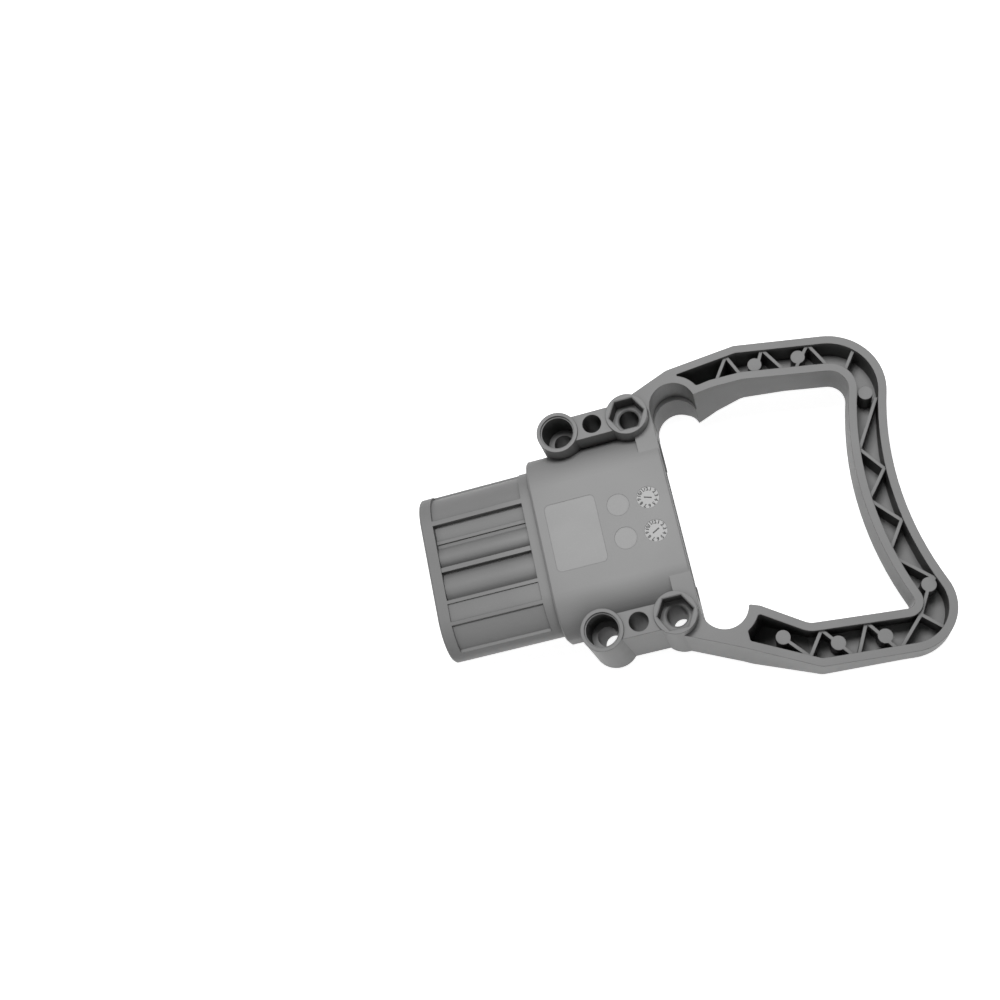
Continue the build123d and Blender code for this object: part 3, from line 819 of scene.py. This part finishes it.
class CONNECTOR_OT_finish_housing(bpy.types.Operator):
    """Gives the moulded housing its glass-filled plastic"""

    bl_idname = "connector.finish_housing"
    bl_label = "Finish the housing"

    def execute(self, context):
        finish = context.scene.connector_plastic
        material = moulded_plastic(
            "Housing plastic", finish.colour, finish.roughness, finish.grain_size, finish.grain_height,
            finish.edge_width, finish.edge_shade)
        # Painted light on the top face, then painted shade in the hollows and creases
        rub_high_face(material, finish.colour, finish.rubbed)
        shade_hollows(material, finish.colour, finish.cavity_reach, finish.cavity_shade)
        give_material(HOUSING, material)
        return {"FINISHED"}


class CONNECTOR_OT_finish_coding_pin(bpy.types.Operator):
    """Gives the coding pin a smoother plastic of its own"""

    bl_idname = "connector.finish_coding_pin"
    bl_label = "Finish the coding pin"

    def execute(self, context):
        colour = context.scene.connector_plastic.pin_colour
        give_material(CODING_PIN, moulded_plastic("Coding pin plastic", colour, **PIN_SURFACE))
        return {"FINISHED"}


class CONNECTOR_OT_finish_contacts(bpy.types.Operator):
    """Gives the main and pilot contacts their silver plating"""

    bl_idname = "connector.finish_contacts"
    bl_label = "Finish the contacts"

    def execute(self, context):
        finish = context.scene.connector_metal
        material = turned_metal("Silver-plated contact", finish.silver, finish.tarnish, **PLATED_SURFACE)
        for node_name in PLATED_CONTACTS:
            give_material(node_name, material)
        return {"FINISHED"}


class CONNECTOR_OT_finish_springs(bpy.types.Operator):
    """Gives the contact bands, retaining rings and pilot hoods their spring steel"""

    bl_idname = "connector.finish_springs"
    bl_label = "Finish the springs"

    def execute(self, context):
        steel = context.scene.connector_metal.steel
        material = turned_metal("Spring steel", steel, scaled(steel, STAINED_STEEL), **STEEL_SURFACE)
        for node_name in SPRING_PARTS:
            give_material(node_name, material)
        return {"FINISHED"}


class CONNECTOR_OT_make_patch(bpy.types.Operator):
    """Sets the smooth bare panel into its recess in the ribbed face"""

    bl_idname = "connector.make_patch"
    bl_label = "Make the bare patch"

    def execute(self, context):
        marks = context.scene.connector_marks
        material = mark_material("Polished mark plastic", marks.colour)
        outline = rounded_outline(marks.patch_length, marks.patch_width, marks.patch_corner)
        make_mark("bare_patch", *button(outline, PATCH_CENTRE, PATCH_PROFILE), material)
        return {"FINISHED"}


class CONNECTOR_OT_make_discs(bpy.types.Operator):
    """Sets the two bare ejector discs into the ribbed face"""

    bl_idname = "connector.make_discs"
    bl_label = "Make the bare discs"

    def execute(self, context):
        material = mark_material("Polished mark plastic", context.scene.connector_marks.colour)
        outline = round_outline(MARK_RADIUS)
        for name, side in SIDES.items():
            disc = button(outline, (DISC_X, side * MARK_Y), DISC_PROFILE)
            make_mark("bare_disc_" + name, *disc, material)
        return {"FINISHED"}


class CONNECTOR_OT_make_dials(bpy.types.Operator):
    """Sets the two date dials, with plain numbers and a pointer, into the ribbed face"""

    bl_idname = "connector.make_dials"
    bl_label = "Make the dials"

    def execute(self, context):
        marks = context.scene.connector_marks
        face_material = mark_material("Dial face plastic", marks.dial_colour)
        # Painted shade: near-black figures stand for the shade in the dial's moulded numbers and pointer
        figure_shade_material = mark_material("Dial figure painted shade", marks.figure_colour)
        outline = round_outline(MARK_RADIUS)
        for name, side in SIDES.items():
            centre = np.array((DIAL_X, side * MARK_Y))
            make_mark("date_dial_" + name, *button(outline, centre, DIAL_PROFILE), face_material)
            figures = dial_figures(marks, centre, POINTER_TURN[name])
            make_mark("dial_figures_" + name, *figures, figure_shade_material)
        return {"FINISHED"}


class CONNECTOR_OT_lay_stage(bpy.types.Operator):
    """Lays the white floor and sets the lamps, the room light and the camera"""

    bl_idname = "connector.lay_stage"
    bl_label = "Lay the stage"

    def execute(self, context):
        stage = context.scene.connector_stage
        lay_floor(stage.floor_size)
        light_room(stage.world_level)
        hang_lamp("Overhead lamp", stage.key_power, **OVERHEAD_LAMP)
        hang_lamp("Fill lamp", stage.fill_power, **FILL_LAMP)
        place_camera()
        context.scene.view_settings.view_transform = "Standard"
        return {"FINISHED"}


class CONNECTOR_PT_looks(bpy.types.Panel):
    """Lists the connector's finishes, marks and stage"""

    bl_idname = "CONNECTOR_PT_looks"
    bl_label = "Connector looks"
    bl_space_type = "VIEW_3D"
    bl_region_type = "UI"
    bl_category = "Connector"

    def draw(self, context):
        layout = self.layout
        for group_name, group in SETTINGS.items():
            box = layout.box()
            for name in group.__annotations__:
                box.prop(getattr(context.scene, group_name), name)
        for operator in OPERATORS:
            layout.operator(operator.bl_idname)


OPERATORS = (
    CONNECTOR_OT_finish_housing,
    CONNECTOR_OT_finish_coding_pin,
    CONNECTOR_OT_finish_contacts,
    CONNECTOR_OT_finish_springs,
    CONNECTOR_OT_make_patch,
    CONNECTOR_OT_make_discs,
    CONNECTOR_OT_make_dials,
    CONNECTOR_OT_lay_stage,
)
SETTINGS = {
    "connector_plastic": PlasticFinish,
    "connector_metal": MetalFinish,
    "connector_marks": MarkShapes,
    "connector_stage": StageLight,
}


def register():
    """Registers the settings, operators and panel."""
    for name, group in SETTINGS.items():
        bpy.utils.register_class(group)
        setattr(bpy.types.Scene, name, bpy.props.PointerProperty(type=group))
    for operator in OPERATORS:
        bpy.utils.register_class(operator)
    bpy.utils.register_class(CONNECTOR_PT_looks)


def unregister():
    """Takes the settings, operators and panel away again."""
    bpy.utils.unregister_class(CONNECTOR_PT_looks)
    for operator in reversed(OPERATORS):
        bpy.utils.unregister_class(operator)
    for name, group in reversed(list(SETTINGS.items())):
        delattr(bpy.types.Scene, name)
        bpy.utils.unregister_class(group)


def main():
    """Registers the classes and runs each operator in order."""
    register()
    bpy.ops.connector.finish_housing()
    bpy.ops.connector.finish_coding_pin()
    bpy.ops.connector.finish_contacts()
    bpy.ops.connector.finish_springs()
    bpy.ops.connector.make_patch()
    bpy.ops.connector.make_discs()
    bpy.ops.connector.make_dials()
    bpy.ops.connector.lay_stage()
    bpy.context.view_layer.update()


if __name__ == "__main__":
    main()
